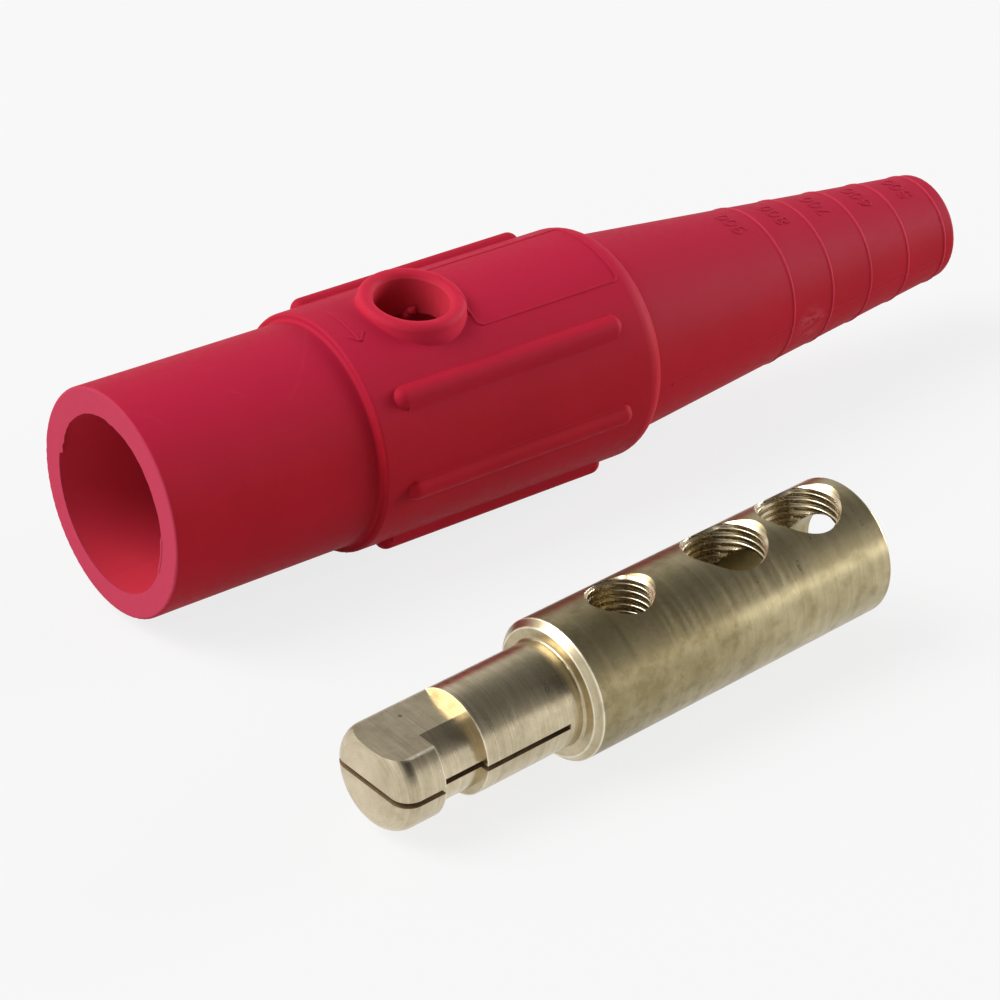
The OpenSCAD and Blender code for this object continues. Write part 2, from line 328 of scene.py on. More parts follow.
def fine_specks():
    """Scattered small round specks, as a mask."""
    name = "Fine specks"
    if name in bpy.data.node_groups:
        return bpy.data.node_groups[name]
    values = {"Scale": 300.0, "Size": 0.12, "Share": 0.9}
    tree, start, end = new_group(name, values, "Speck")
    links = {"Vector": start["Vector"], "Scale": start["Scale"]}
    cells = put(tree, "ShaderNodeTexVoronoi", links).outputs
    dot = spread(tree, cells["Distance"], 0.0, start["Size"], 1.0, 0.0)
    tone = put(tree, "ShaderNodeSeparateColor", {0: cells["Color"]}).outputs[0]
    some = math_node(tree, "GREATER_THAN", tone, start["Share"])
    tree.links.new(times(tree, dot, some), end)
    return tree


def group_node(tree, group, vector, **values):
    """Result of a node group at a place, with its own values."""
    return put(tree, "ShaderNodeGroup", {"Vector": vector, **values}, node_tree=group).outputs[0]


def own_axes(tree, place):
    """Place in metres on a piece's own axes, and its parts along, across and above them."""
    links = {
        "Vector": put(tree, "ShaderNodeTexCoord").outputs["Object"],
        "Location": place.to_translation(),
        "Rotation": place.to_3x3().normalized().to_euler(),
    }
    spot = put(tree, "ShaderNodeMapping", links, vector_type="TEXTURE").outputs["Vector"]
    parts = put(tree, "ShaderNodeSeparateXYZ", {0: spot}).outputs
    return spot, parts["X"], parts["Y"], parts["Z"]


def near_point(tree, spot, point, reach, fade):
    """One within reach of a point in millimetres, falling to nothing over the fade."""
    away = vector_node(tree, "DISTANCE", spot, Vector(point) * MM)
    return spread(tree, away, reach * MM, (reach + fade) * MM, 1.0, 0.0)


def new_material(name):
    """Material, its nodes and its Principled shader, or no nodes and no shader when it is already made."""
    if name in bpy.data.materials:
        return bpy.data.materials[name], None, None
    made = bpy.data.materials.new(name)
    made.use_nodes = True
    return made, made.node_tree, made.node_tree.nodes["Principled BSDF"]


def raise_surface(tree, shader, height):
    """Links a height in millimetres to a shader's normal."""
    bump = put(tree, "ShaderNodeBump", {"Strength": 1.0, "Distance": MM, "Height": height})
    tree.links.new(bump.outputs["Normal"], shader.inputs["Normal"])


# Finish of the sleeve

def inner_walls(tree, x, z, across, level, hole):
    """Mask of the walls of the mouth and of the screw hole."""
    mouth_r, hole_r = mount_size("mouth_bore", "r_mm"), mount_size("sleeve_screw_hole", "r_mm")
    mouth = near_point(tree, across, (0, 0, 0), mouth_r + WALL_SKIN, WALL_SKIN)
    mouth = times(tree, mouth, math_node(tree, "LESS_THAN", x, mount_size("mouth_bore", "length_mm") * MM))
    wall = near_point(tree, level, hole, hole_r + WALL_SKIN, WALL_SKIN)
    wall = times(tree, wall, math_node(tree, "GREATER_THAN", z, 0.0))
    return most(tree, mouth, wall)


def ring_crest_highlights(tree, x):
    """Mask of the painted highlight on the crests of the tail's rings."""
    off = math_node(tree, "PINGPONG", minus(tree, x, FIRST_RING * MM), RING_PITCH / 2 * MM)
    crest = spread(tree, off, CREST_HALF * MM, CREST_END * MM, 0.5, 0.0)
    return times(tree, crest, math_node(tree, "GREATER_THAN", x, (FIRST_RING - RING_PITCH / 2) * MM))


def moulded_rubber():
    """Satin red rubber with mottling, a fine grain, scuffs and specks."""
    made, tree, shader = new_material("moulded_red_rubber")
    if shader is None:
        return made
    look = bpy.context.scene.connector_sleeve
    spot, x, y, z = own_axes(tree, SLEEVE_PLACE)
    across = combine(tree, 0.0, y, z)
    hole = SLEEVE_PLACE.inverted() @ mount_point("sleeve_screw_hole")
    level = combine(tree, x, y, hole.z * MM)
    broad = group_node(tree, soft_mottle(), spot, Scale=55.0, Detail=3.0, Low=0.3, High=0.7)
    small = group_node(tree, soft_mottle(), spot, Scale=900.0, Detail=4.0, Low=0.3, High=0.7)
    scuff = group_node(tree, hair_scratches(), spot, Scale=26.0, Width=0.003, Cover=0.52)
    speck = group_node(tree, fine_specks(), spot, Scale=160.0, Size=0.045, Share=0.93)
    dust = group_node(tree, fine_specks(), spot, Scale=130.0, Size=0.035, Share=0.95)
    # the trimmed face of the mouth is paler and rougher than the moulded skin
    cut = spread(tree, x, CUT_DEPTH * MM, CUT_END * MM, 1.0, 0.0)
    # one rough patch beside the seam, where the rubber tore in the mould
    drawn = vector_node(tree, "MULTIPLY", spot, (0.3, 1.0, 0.8), "Vector")
    ragged = group_node(tree, soft_mottle(), drawn, Scale=1100.0, Detail=5.0, Low=0.4, High=0.75)
    torn = times(tree, near_point(tree, spot, TORN_PATCH, reach=1.6, fade=2.6), ragged)
    # the red is cloudy, with a painted sheen that makes it pinker on the upper side and a painted shade that
    # makes it deeper on the tail's upper side
    tone = plus(tree, times(tree, broad, 0.6), times(tree, small, 0.4))
    colour = blend_colour(tree, tone, look.deep_red, look.red)
    upward = math_node(tree, "DIVIDE", z, vector_node(tree, "LENGTH", across))
    colour = blend_colour(tree, spread(tree, upward, 0.45, 1.0, 0.0, 0.9), colour, look.painted_sheen_red)
    # painted shade: the tail's upper side is a deeper red
    tail = spread(tree, x, TAIL_START * MM, (TAIL_START + TAIL_FADE) * MM, 0.0, 0.6)
    tail = times(tree, tail, spread(tree, upward, 0.3, 0.9))
    colour = blend_colour(tree, tail, colour, look.tail_shade_red)
    # painted light: the collar's upper side is a brighter red
    collar = near_point(tree, level, hole, COLLAR_R, fade=0.5)
    collar = times(tree, collar, spread(tree, upward, 0.5, 0.7, 0.0, 0.8))
    colour = blend_colour(tree, collar, colour, look.collar_light_red)
    # painted highlight: paler red on the crests of the tail's rings
    colour = blend_colour(tree, ring_crest_highlights(tree, x), colour, CREST_HIGHLIGHT_RED)
    # painted light: the walls of the mouth and the screw hole are a brighter red
    colour = blend_colour(tree, inner_walls(tree, x, z, across, level, hole), colour, look.inner_light_red)
    colour = blend_colour(tree, cut, colour, look.cut_red)
    pale = plus(tree, times(tree, scuff, 0.05), times(tree, torn, 0.30))
    pale = plus(tree, pale, times(tree, dust, 0.5), clamp=True)
    colour = blend_colour(tree, pale, colour, BARE_PINK)
    colour = blend_colour(tree, times(tree, speck, 0.7), colour, SPECK_RED)
    tree.links.new(colour, shader.inputs["Base Color"])
    rough = plus(tree, spread(tree, small, 0.0, 1.0, 0.52, 0.64), times(tree, cut, 0.12))
    rough = plus(tree, rough, times(tree, scuff, 0.15), clamp=True)
    tree.links.new(rough, shader.inputs["Roughness"])
    grain = put(tree, "ShaderNodeTexNoise", {"Vector": spot, "Scale": 4200.0, "Detail": 3.0}).outputs["Fac"]
    wave = put(tree, "ShaderNodeTexNoise", {"Vector": spot, "Scale": 130.0, "Detail": 1.0}).outputs["Fac"]
    height = plus(tree, times(tree, grain, 0.012), times(tree, wave, 0.10))
    height = minus(tree, height, times(tree, scuff, 0.01))
    height = plus(tree, height, times(tree, torn, 0.06))
    raise_surface(tree, shader, height)
    shader.inputs["Specular IOR Level"].default_value = 0.06
    return made


# Finish of the contact

def turning_lines(tree, x, radius):
    """Fine and broad lines of a lathe tool, fed along the axis on round surfaces, across it on end faces."""
    normal = put(tree, "ShaderNodeNewGeometry").outputs["Normal"]
    axis = CONTACT_PLACE.to_3x3().col[0].normalized()
    facing = math_node(tree, "ABSOLUTE", vector_node(tree, "DOT_PRODUCT", normal, axis))
    on_face = math_node(tree, "GREATER_THAN", facing, END_FACE)
    feed = put(tree, "ShaderNodeMix", {0: on_face, 2: x, 3: radius}).outputs[0]
    lines = []
    for scale, detail in ((6500.0, 2.0), (900.0, 3.0)):
        links = {"W": feed, "Scale": scale, "Detail": detail}
        lines.append(put(tree, "ShaderNodeTexNoise", links, noise_dimensions="1D").outputs["Fac"])
    return lines


def sawn_walls(tree, x, off_slot):
    """Mask of the walls of the saw slot."""
    near = math_node(tree, "LESS_THAN", math_node(tree, "ABSOLUTE", off_slot), SLOT_HALF * MM)
    return times(tree, near, math_node(tree, "LESS_THAN", x, SLOT_END * MM))


def edge_highlights(tree, x, radius, off_slot):
    """Mask of the painted highlight along the sides of the cam flat and the round edges."""
    beside_slot = combine(tree, off_slot, radius)
    edge_glint = near_point(tree, beside_slot, (FLAT_HEIGHT, HEAD_R, 0), reach=0.06, fade=0.22)
    edge_glint = times(tree, edge_glint, math_node(tree, "LESS_THAN", x, FLAT_START * MM))
    profile = combine(tree, x, radius)
    for at, out in GLINT_RINGS:
        edge_glint = most(tree, edge_glint, near_point(tree, profile, (at, out, 0), reach=0.06, fade=0.18))
    return edge_glint


def turned_brass(name, line_depth, dullness, shine, clean):
    """Brass with turning lines round its axis, handling scratches, pits and a cloudy tarnish."""
    made, tree, shader = new_material(name)
    if shader is None:
        return made
    look = bpy.context.scene.connector_contact
    spot, x, y, z = own_axes(tree, CONTACT_PLACE)
    radius = vector_node(tree, "LENGTH", combine(tree, 0.0, y, z))
    lean = math.radians(SLOT_LEAN)
    off_slot = vector_node(tree, "DOT_PRODUCT", spot, (0.0, -math.sin(lean), math.cos(lean)))
    fine, bands = turning_lines(tree, x, radius)
    cloud = group_node(tree, soft_mottle(), spot, Scale=120.0, Detail=5.0, Low=0.38, High=0.64)
    stain = group_node(tree, soft_mottle(), spot, Scale=520.0, Detail=5.0, Low=0.47, High=0.72)
    scratch = group_node(tree, hair_scratches(), spot, Scale=70.0, Width=0.006, Cover=0.5)
    pit = group_node(tree, fine_specks(), spot, Scale=420.0, Size=0.12, Share=0.9)
    pit = most(tree, pit, near_point(tree, spot, FLAT_PIT, reach=0.15, fade=0.3))
    # the nose is rubbed clean by use, the barrel keeps a duller skin behind its chamfer
    bare = spread(tree, x, SKIN_FADES * MM, SKIN_GONE * MM, 0.0, 0.6)
    rubbed = plus(tree, bare, spread(tree, x, CLEAN_FROM * MM, CLEAN_AT * MM, 0.0, 0.4))
    rubbed = most(tree, rubbed, clean)
    colour = blend_colour(tree, rubbed, look.handled, look.brass)
    # tarnish comes in clouds and spots, and a painted shade darkens the barrel's front more than its rear
    spots = plus(tree, times(tree, cloud, 0.6), times(tree, stain, 0.5))
    on_barrel = spread(tree, rubbed, 0.0, 0.3, 1.0, 0.0)
    front_shade = times(tree, spread(tree, x, FRONT_SHADE_FROM * MM, FRONT_SHADE_AT * MM, 0.0, 0.42), on_barrel)
    # tarnish and painted shade together darken the brass
    tarnish_and_shade = plus(tree, times(tree, spots, dullness, clamp=True), front_shade, clamp=True)
    tarnish_and_shade = times(tree, tarnish_and_shade, spread(tree, rubbed, 0.0, 1.0, 1.0, 0.5))
    colour = blend_colour(tree, tarnish_and_shade, colour, look.tarnish)
    colour = blend_colour(tree, times(tree, spread(tree, fine, 0.35, 0.65), 0.18), colour, look.tarnish)
    # wiping marks run round the axis, fine ones and broad ones
    wiped = vector_node(tree, "MULTIPLY", spot, (1.0, 0.05, 0.05), "Vector")
    streak = group_node(tree, soft_mottle(), wiped, Scale=2400.0, Detail=3.0, Low=0.4, High=0.7)
    smear = group_node(tree, soft_mottle(), wiped, Scale=520.0, Detail=4.0, Low=0.42, High=0.75)
    marks = times(tree, plus(tree, times(tree, streak, 0.30), times(tree, smear, 0.35)), dullness)
    colour = blend_colour(tree, marks, colour, look.tarnish)
    # the slot's walls are darker and rougher brass
    sawn = sawn_walls(tree, x, off_slot)
    colour = blend_colour(tree, sawn, colour, SLOT_WALL_BRASS)
    # painted highlight: thin bright lines along the edges
    edge_glint = times(tree, edge_highlights(tree, x, radius, off_slot), spread(tree, stain, 0.0, 1.0, 0.75, 0.35))
    colour = blend_colour(tree, edge_glint, colour, EDGE_HIGHLIGHT_BRASS)
    colour = blend_colour(tree, times(tree, pit, 0.7), colour, PIT_BROWN)
    colour = blend_colour(tree, times(tree, scratch, 0.10), colour, SCRATCHED_BRASS)
    tree.links.new(colour, shader.inputs["Base Color"])
    rough = plus(tree, spread(tree, bands, 0.3, 0.7, shine, shine + 0.06), times(tree, tarnish_and_shade, 0.10))
    rough = plus(tree, rough, times(tree, sawn, 0.35))
    rough = plus(tree, rough, times(tree, edge_glint, 0.15), clamp=True)
    tree.links.new(rough, shader.inputs["Roughness"])
    height = plus(tree, times(tree, fine, line_depth), times(tree, bands, line_depth * 1.5))
    height = minus(tree, height, times(tree, pit, 0.02))
    height = minus(tree, height, times(tree, scratch, 0.002))
    raise_surface(tree, shader, height)
    shader.inputs["Metallic"].default_value = 1.0
    return made


# Small helpers for meshes

def add_piece(name, points, faces, place, material, smooth=True):
    """Makes a mesh from points in millimetres and lets it ride on the connector."""
    mesh = bpy.data.meshes.new(name)
    mesh.from_pydata([place @ Vector(p) for p in points], [], faces)
    mesh.validate()
    for face in mesh.polygons:
        face.use_smooth = smooth
    mesh.materials.append(material)
    made = bpy.data.objects.new(name, mesh)
    bpy.context.scene.collection.objects.link(made)
    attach(made, "root")


class SleeveSkin:
    """Finds points on the sleeve's moulded outside."""

    # distance from the axis that is outside the whole sleeve, in mm
    OUTSIDE = 40.0

    def __init__(self):
        mesh = frame["nodes"][SLEEVE_NODE].data
        points = [v.co.copy() for v in mesh.vertices]
        self.tree = BVHTree.FromPolygons(points, [tuple(f.vertices) for f in mesh.polygons])
        self.back = SLEEVE_PLACE.inverted()
        self.turn = self.back.to_3x3().normalized()

    def at(self, along, angle):
        """Point and outward normal in the sleeve's millimetres, at an angle from the screw hole's line."""
        out = Vector((0, math.sin(angle), math.cos(angle)))
        start = SLEEVE_PLACE @ (Vector((along, 0, 0)) + out * self.OUTSIDE)
        way = (SLEEVE_PLACE.to_3x3() @ -out).normalized()
        hit, normal, _, _ = self.tree.ray_cast(start, way)
        if hit is None:
            raise RuntimeError("no skin at %.1f mm" % along)
        local = self.turn @ normal
        if local.dot(out) < 0:
            local = -local
        return self.back @ hit, local


def bead(skin, path, width, height, sink, closed=False, steps=6):
    """Rounded bead along (distance, angle) places on the skin, as points and faces in millimetres."""
    spots = [skin.at(along, angle) for along, angle in path]
    count = len(spots)
    points, faces = [], []
    ring = 2 * steps
    for i, (spot, normal) in enumerate(spots):
        before = spots[(i - 1) % count if closed else max(i - 1, 0)][0]
        after = spots[(i + 1) % count if closed else min(i + 1, count - 1)][0]
        run = (after - before).normalized()
        side = normal.cross(run).normalized()
        for k in range(ring):
            a = math.tau * k / ring
            up = math.sin(a)
            lift = height * up if up > 0 else sink * up
            points.append(spot + side * (width / 2 * math.cos(a)) + normal * lift)
    for i in range(count if closed else count - 1):
        j = (i + 1) % count
        for k in range(ring):
            m = (k + 1) % ring
            faces.append((i * ring + k, i * ring + m, j * ring + m, j * ring + k))
    if not closed:
        faces.append(tuple(range(ring - 1, -1, -1)))
        faces.append(tuple((count - 1) * ring + k for k in range(ring)))
    return points, faces


def join_meshes(meshes):
    """Points and faces of several meshes as one."""
    points, faces = [], []
    for some_points, some_faces in meshes:
        shift = len(points)
        points.extend(some_points)
        faces.extend(tuple(i + shift for i in face) for face in some_faces)
    return points, faces


def walk(corners, step):
    """Places spaced along straight runs between (distance, turn in mm) corners."""
    path = [corners[0]]
    for (ax, ay), (bx, by) in zip(corners, corners[1:]):
        parts = max(1, round(math.hypot(bx - ax, by - ay) / step))
        path.extend((ax + (bx - ax) * i / parts, ay + (by - ay) * i / parts) for i in range(1, parts + 1))
    return path


def lump(middle, reach, seed):
    """Small uneven lump of rubber, as points and faces in millimetres."""
    rows, columns = 10, 16
    uneven, swell = 0.22, 1.6

    def place(way):
        size = 1 + uneven * noise.noise(way * swell + Vector((seed, 0, 0)))
        return Vector(middle) + Vector([w * r * size for w, r in zip(way, reach)])

    points, faces = [], []
    for j in range(1, rows):
        b = math.pi * j / rows
        for i in range(columns):
            a = math.tau * i / columns
            points.append(place(Vector((math.sin(b) * math.cos(a), math.sin(b) * math.sin(a), math.cos(b)))))
    top, bottom, last = len(points), len(points) + 1, (rows - 2) * columns
    points += [place(Vector((0, 0, 1))), place(Vector((0, 0, -1)))]
    for i in range(columns):
        n = (i + 1) % columns
        faces.append((top, i, n))
        for j in range(rows - 2):
            faces.append((j * columns + i, (j + 1) * columns + i, (j + 1) * columns + n, j * columns + n))
        faces.append((last + i, bottom, last + n))
    return points, faces


# Pieces

class CONNECTOR_OT_sleeve_rubber(bpy.types.Operator):
    """Give the moulded sleeve its satin red rubber"""
    bl_idname = "connector.sleeve_rubber"
    bl_label = "Sleeve Rubber"

    def execute(self, context):
        sleeve = frame["nodes"][SLEEVE_NODE]
        sleeve.data.materials.clear()
        sleeve.data.materials.append(moulded_rubber())
        return {"FINISHED"}


class CONNECTOR_OT_contact_brass(bpy.types.Operator):
    """Give the contact its turned brass"""
    bl_idname = "connector.contact_brass"
    bl_label = "Contact Brass"

    def execute(self, context):
        brass = turned_brass("turned_brass", line_depth=0.006, dullness=0.9, shine=0.25, clean=0.0)
        contact = frame["nodes"][CONTACT_NODE]
        contact.data.materials.clear()
        contact.data.materials.append(brass)
        return {"FINISHED"}


class CONNECTOR_OT_screw_threads(bpy.types.Operator):
    """Cut the threads of the three screw holes"""
    bl_idname = "connector.screw_threads"
    bl_label = "Screw Threads"

    # broken edge of the holes and floor of the set screws' holes, in mm
    BURR = 0.5
    SET_FLOOR = 3.0
    # run-out at a thread's ends, gap to the hole's ends and depth sunk in its wall, in mm
    RUN_OUT = 0.45
    END_GAP = 0.02
    SUNK = 0.03
    # half of the ridge at its foot and each of its steep flanks, in turns
    RIDGE_HALF, FLANK = 0.46, 0.2
    ROWS = 144

    def thread(self, name, hole, floor_at, look, material):
        """One thread, as a lining that starts and ends inside the hole's wall."""
        pitch, depth = look.thread_pitch / MM, look.thread_depth / MM
        wall = mount_size(hole, "r_mm")
        centre = CONTACT_PLACE.inverted() @ mount_point(hole)
        columns, rows = look.thread_columns, self.ROWS
        points, faces = [], []
        for i in range(columns):
            a = math.tau * i / columns
            side = wall * math.sin(a)
            top = min(BARREL_R - self.BURR, math.sqrt(BARREL_R ** 2 - side ** 2)) - self.END_GAP
            low = floor_at(side) + self.END_GAP
            for j in range(rows + 1):
                z = low + (top - low) * j / rows
                turn = (z / pitch - i / columns) % 1.0
                ridge = min(1.0, max(0.0, (self.RIDGE_HALF - abs(turn - 0.5)) / self.FLANK))
                ends = min(1.0, (z - low) / self.RUN_OUT, (top - z) / self.RUN_OUT)
                r = wall + self.SUNK - (depth + self.SUNK) * ridge * max(0.0, ends)
                points.append((centre.x + r * math.cos(a), r * math.sin(a), z))
        for i in range(columns):
            n = (i + 1) % columns
            for j in range(rows):
                a, b = i * (rows + 1) + j, n * (rows + 1) + j
                faces.append((a, a + 1, b + 1, b))
        add_piece(name, points, faces, CONTACT_PLACE, material)

    def execute(self, context):
        look = context.scene.connector_contact
        brass = turned_brass("thread_brass", line_depth=0.002, dullness=0.5, shine=0.24, clean=1.0)
        bore = mount_size("contact_cable_bore", "r_mm")

        def set_floor(side):
            return max(self.SET_FLOOR, math.sqrt(max(0.0, bore ** 2 - side ** 2)))

        def retain_floor(side):
            return BARREL_R - self.BURR - mount_size("retaining_screw", "length_mm")

        self.thread("rear_set_screw_thread", "rear_set_screw", set_floor, look, brass)
        self.thread("front_set_screw_thread", "front_set_screw", set_floor, look, brass)
        self.thread("retaining_screw_thread", "retaining_screw", retain_floor, look, brass)
        return {"FINISHED"}


class CONNECTOR_OT_raised_marks(bpy.types.Operator):
    """Raise the plain frame and the plain arrow on the sleeve's body"""
    bl_idname = "connector.raised_marks"
    bl_label = "Raised Marks"

    # millimetres: cut-off corner of the frame, depth sunk in the skin and steps along the lines
    CORNER = 0.7
    SUNK = 0.1
    FRAME_STEP, ARROW_STEP = 0.6, 0.4
    # arrow round the body in front of the screw hole: its place, ends round the body and head
    ARROW_AT = 41.3
    ARROW_START, ARROW_END = 4.0, -4.4
    ARROW_HEAD = 1.5

    def execute(self, context):
        look = context.scene.connector_sleeve
        skin = SleeveSkin()
        width, height = look.line_width / MM, look.line_height / MM
        start, end, half = look.frame_start / MM, look.frame_end / MM, look.frame_half
        radius = skin.at((start + end) / 2, half)[0].yz.length
        turn = half * radius
        c = self.CORNER
        corners = [(start + c, -turn), (end - c, -turn), (end, -turn + c), (end, turn - c), (end - c, turn),
                   (start + c, turn), (start, turn - c), (start, -turn + c), (start + c, -turn)]
        loop = [(x, y / radius) for x, y in walk(corners, self.FRAME_STEP)[:-1]]
        points, faces = bead(skin, loop, width, height, self.SUNK, closed=True)
        add_piece("label_frame", points, faces, SLEEVE_PLACE, moulded_rubber())
        at, tip, head = self.ARROW_AT, self.ARROW_END, self.ARROW_HEAD
        beads = []
        for stroke_start in ((at, self.ARROW_START), (at - head, tip + head), (at + head, tip + head)):
            stroke = [(x, y / radius) for x, y in walk([stroke_start, (at, tip)], self.ARROW_STEP)]
            beads.append(bead(skin, stroke, width, height, self.SUNK))
        points, faces = join_meshes(beads)
        add_piece("turn_arrow", points, faces, SLEEVE_PLACE, moulded_rubber())
        return {"FINISHED"}


class CONNECTOR_OT_ring_numbers(bpy.types.Operator):
    """Raise a plain number in front of each cutting ring of the tail"""
    bl_idname = "connector.ring_numbers"
    bl_label = "Ring Numbers"

    # strokes in a box one high and 0.6 wide, from the lower left
    STROKES = {
        "9": ((0.56, 0.62), (0.45, 0.48), (0.2, 0.46), (0.04, 0.6), (0.04, 0.85), (0.2, 1.0), (0.42, 1.0),
              (0.56, 0.86), (0.56, 0.3), (0.4, 0.02), (0.12, 0.0)),
        "8": ((0.3, 0.53), (0.08, 0.68), (0.08, 0.88), (0.22, 1.0), (0.38, 1.0), (0.52, 0.88), (0.52, 0.68),
              (0.3, 0.53), (0.06, 0.36), (0.06, 0.12), (0.2, 0.0), (0.4, 0.0), (0.54, 0.12), (0.54, 0.36),
              (0.3, 0.53)),
        "7": ((0.04, 1.0), (0.56, 1.0), (0.2, 0.0)),
        "6": ((0.5, 0.98), (0.2, 0.8), (0.04, 0.4), (0.04, 0.16), (0.2, 0.0), (0.42, 0.0), (0.56, 0.14),
              (0.56, 0.38), (0.42, 0.53), (0.2, 0.53), (0.05, 0.38)),
        "5": ((0.52, 1.0), (0.1, 1.0), (0.07, 0.56), (0.34, 0.6), (0.55, 0.46), (0.55, 0.16), (0.4, 0.0),
              (0.18, 0.0), (0.04, 0.12)),
        "0": ((0.3, 1.0), (0.12, 0.9), (0.04, 0.7), (0.04, 0.3), (0.12, 0.1), (0.3, 0.0), (0.48, 0.1),
              (0.56, 0.3), (0.56, 0.7), (0.48, 0.9), (0.3, 1.0)),
    }
    MIDDLE_X, MIDDLE_Y = 0.3, 0.5
    NUMBERS = ("900", "800", "700", "600", "500")
    # millimetres: number to its ring, first digit round the tail from the screw hole's line, digit to digit
    BEFORE_RING = 4.8
    FIRST_DIGIT, DIGIT_STEP = -2.0, 2.15
    # width as a share of the other lines, depth sunk in the skin and step along a stroke in mm
    THIN = 0.8
    SUNK = 0.08
    STEP = 0.25

    def execute(self, context):
        look = context.scene.connector_sleeve
        skin = SleeveSkin()
        size = look.number_height / MM
        width, height = look.line_width / MM * self.THIN, look.line_height / MM
        beads = []
        for i, number in enumerate(self.NUMBERS):
            at = FIRST_RING + i * RING_PITCH - self.BEFORE_RING
            radius = skin.at(at, 0.0)[0].yz.length
            for place, digit in enumerate(number):
                middle = self.FIRST_DIGIT + place * self.DIGIT_STEP
                laid = [(at + (self.MIDDLE_Y - y) * size, middle + (x - self.MIDDLE_X) * size)
                        for x, y in self.STROKES[digit]]
                path = [(x, y / radius) for x, y in walk(laid, self.STEP)]
                beads.append(bead(skin, path, width, height, self.SUNK, steps=4))
        points, faces = join_meshes(beads)
        add_piece("ring_numbers", points, faces, SLEEVE_PLACE, moulded_rubber())
        return {"FINISHED"}


class CONNECTOR_OT_mould_seams(bpy.types.Operator):
    """Leave the mould's parting seam along both sides of the tail"""
    bl_idname = "connector.mould_seams"
    bl_label = "Mould Seams"

    # ends of the seam, its height and the depth sunk in the skin, in mm
    START, END = 97.0, 166.6
    HEIGHT, SUNK = 0.06, 0.06
    STEPS = 160
    # how far the seam strays, as an angle, and how quickly
    STRAY, WAVER = 0.004, 0.12

    def execute(self, context):
        look = context.scene.connector_sleeve
        skin = SleeveSkin()
        for name, angle in (("near_seam", -90.0), ("far_seam", 90.0)):
            path = []
            for i in range(self.STEPS + 1):
                x = self.START + (self.END - self.START) * i / self.STEPS
                stray = self.STRAY * noise.noise(Vector((x * self.WAVER, angle, 0.0)))
                path.append((x, math.radians(angle) + stray))
            points, faces = bead(skin, path, look.seam_width / MM, self.HEIGHT, self.SUNK, steps=4)
            add_piece(name, points, faces, SLEEVE_PLACE, moulded_rubber())
        return {"FINISHED"}


class CONNECTOR_OT_mould_flash(bpy.types.Operator):
    """Leave the thin flash in the mouth and the torn bits in the screw hole and on the seam"""
    bl_idname = "connector.mould_flash"
    bl_label = "Mould Flash"

    # film of flash in mm: depth of its front and back, root in the wall, lip, taper and least width
    FRONT, BACK = 0.01, 0.25
    ROOT, LIP, TAPER = 0.2, 0.1, 0.04
    THINNEST = 0.01
    COLUMNS = 540
    # how ragged the film's edge is, as a share, how quickly it changes and where its noise starts
    RAGGED, RAGS, RAG_SEED = 0.5, 14, 1.7
    # angle from the screw hole's line, how wide the film is there and how proud it stands
    FILM = (
        (-180, 0.03, 0.0), (-106, 0.04, 0.0), (-102, 0.20, 0.10), (-80, 0.22, 0.12), (-76, 0.05, 0.0),
        (-62, 0.10, 0.0), (-55, 0.26, 0.02), (-20, 0.20, 0.0), (6, 0.24, 0.0), (10, 0.05, 0.0),
        (22, 0.14, 0.0), (60, 0.30, 0.0), (86.5, 0.80, 0.0), (89, 0.02, 0.0), (180, 0.03, 0.0),
    )
    # middle and reach of each lump, and the step between their seeds
    HOLE_LUMPS = (
        ((57.75, 4.05, 14.45), (0.85, 0.75, 0.7)),
        ((57.35, 4.65, 13.55), (0.8, 0.75, 0.75)),
        ((58.1, 4.5, 13.9), (0.7, 0.7, 0.9)),
    )
    SEAM_LUMPS = (
        ((130.0, -13.3, -0.4), (0.8, 0.10, 0.25)),
        ((131.7, -13.12, -0.2), (0.5, 0.16, 0.3)),
        ((133.0, -13.0, -0.5), (0.9, 0.10, 0.22)),
    )
    SEED_STEP = 3.1

    def film_at(self, turn):
        """Width and height of the film at an angle in degrees."""
        for (a, wide_a, proud_a), (b, wide_b, proud_b) in zip(self.FILM, self.FILM[1:]):
            if a <= turn <= b:
                part = (turn - a) / (b - a)
                return wide_a + (wide_b - wide_a) * part, proud_a + (proud_b - proud_a) * part
        raise RuntimeError("no flash at %.1f degrees" % turn)

    def film(self):
        """Ragged film round the mouth's inner edge, as points and faces in millimetres."""
        bore = mount_size("mouth_bore", "r_mm")
        points, faces = [], []
        for i in range(self.COLUMNS):
            a = math.tau * i / self.COLUMNS
            turn = math.degrees(a) if a <= math.pi else math.degrees(a) - 360
            wide, proud = self.film_at(turn)
            edge = Vector((math.cos(a) * self.RAGS, math.sin(a) * self.RAGS, self.RAG_SEED))
            ragged = 1 + self.RAGGED * noise.noise(edge)
            inner = bore - max(self.THINNEST, wide * ragged)
            front = self.FRONT - proud
            section = ((self.FRONT, bore + self.ROOT), (front, bore + self.LIP), (front, inner),
                       (self.BACK, inner + self.TAPER), (self.BACK, bore + self.ROOT))
            points.extend((x, r * math.sin(a), r * math.cos(a)) for x, r in section)
        ring = len(section)
        for i in range(self.COLUMNS):
            n = (i + 1) % self.COLUMNS
            for k in range(ring):
                m = (k + 1) % ring
                faces.append((i * ring + k, n * ring + k, n * ring + m, i * ring + m))
        return points, faces

    def execute(self, context):
        rubber = moulded_rubber()
        points, faces = self.film()
        add_piece("mouth_flash", points, faces, SLEEVE_PLACE, rubber, smooth=False)
        for name, lumps in (("hole_flash", self.HOLE_LUMPS), ("seam_burr", self.SEAM_LUMPS)):
            made = [lump(middle, reach, i * self.SEED_STEP) for i, (middle, reach) in enumerate(lumps)]
            points, faces = join_meshes(made)
            add_piece(name, points, faces, SLEEVE_PLACE, rubber)
        return {"FINISHED"}


